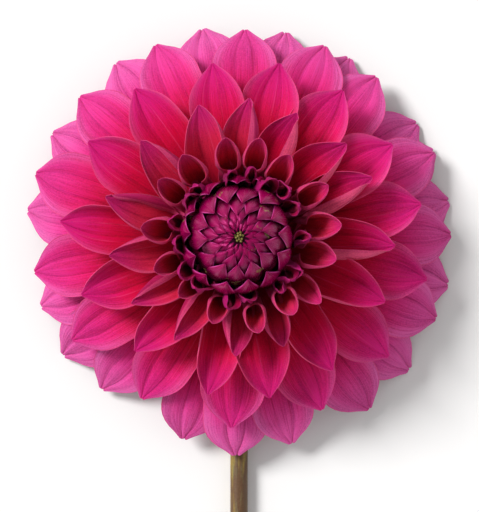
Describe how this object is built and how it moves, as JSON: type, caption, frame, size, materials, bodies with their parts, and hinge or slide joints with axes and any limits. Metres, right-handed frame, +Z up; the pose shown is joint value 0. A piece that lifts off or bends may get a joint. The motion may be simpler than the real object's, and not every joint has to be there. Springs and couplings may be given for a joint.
{
  "type": "dahlia flower",
  "caption": "Cut dahlia in full bloom laid on its back, with nested pink to crimson ray florets round a tight bud and a bare stem along the surface.",
  "frame": {"origin": "middle of the footprint of bloom and stem, on the surface it lies on", "axes": "+Z up out of the bloom's face, stem running towards -Y"},
  "size_m": [0.1272, 0.183, 0.056],
  "materials": {
    "outer_floret": "satin petal, pink",
    "cupped_floret": "satin petal, magenta to crimson",
    "rolled_floret": "satin petal, crimson",
    "bud": "waxy unopened florets, dark purple",
    "bract": "leafy green",
    "receptacle": "fleshy pale green",
    "stem": "olive brown, fine ribs"
  },
  "bodies": {
    "root": {"stem": "stem", "receptacle": "receptacle", "inner_bracts": "bract", "bud": "bud", "heart_florets": "rolled_floret", "outer_bract_1": "bract", "outer_bract_2": "bract", "outer_bract_3": "bract", "outer_bract_4": "bract", "outer_bract_5": "bract", "floret_01": "outer_floret", "floret_02": "outer_floret", "floret_03": "outer_floret", "floret_04": "outer_floret", "floret_05": "outer_floret", "floret_06": "outer_floret", "floret_07": "outer_floret", "floret_08": "outer_floret", "floret_09": "outer_floret", "floret_10": "outer_floret", "floret_11": "outer_floret", "floret_12": "outer_floret", "floret_13": "outer_floret", "floret_14": "outer_floret", "floret_15": "outer_floret", "floret_16": "outer_floret", "floret_17": "outer_floret", "floret_18": "outer_floret", "floret_19": "outer_floret", "floret_20": "outer_floret", "floret_21": "outer_floret", "floret_22": "outer_floret", "floret_23": "outer_floret", "floret_24": "outer_floret", "floret_25": "outer_floret", "floret_26": "outer_floret", "floret_27": "outer_floret", "floret_28": "outer_floret", "floret_29": "outer_floret", "floret_30": "outer_floret", "floret_31": "outer_floret", "floret_32": "cupped_floret", "floret_33": "cupped_floret", "floret_34": "cupped_floret", "floret_35": "cupped_floret", "floret_36": "cupped_floret", "floret_37": "cupped_floret", "floret_38": "cupped_floret", "floret_39": "cupped_floret", "floret_40": "cupped_floret", "floret_41": "cupped_floret", "floret_42": "cupped_floret", "floret_43": "cupped_floret", "floret_44": "cupped_floret", "floret_45": "cupped_floret", "floret_46": "cupped_floret", "floret_47": "cupped_floret", "floret_48": "cupped_floret", "floret_49": "cupped_floret"}
  },
  "joints": []
}
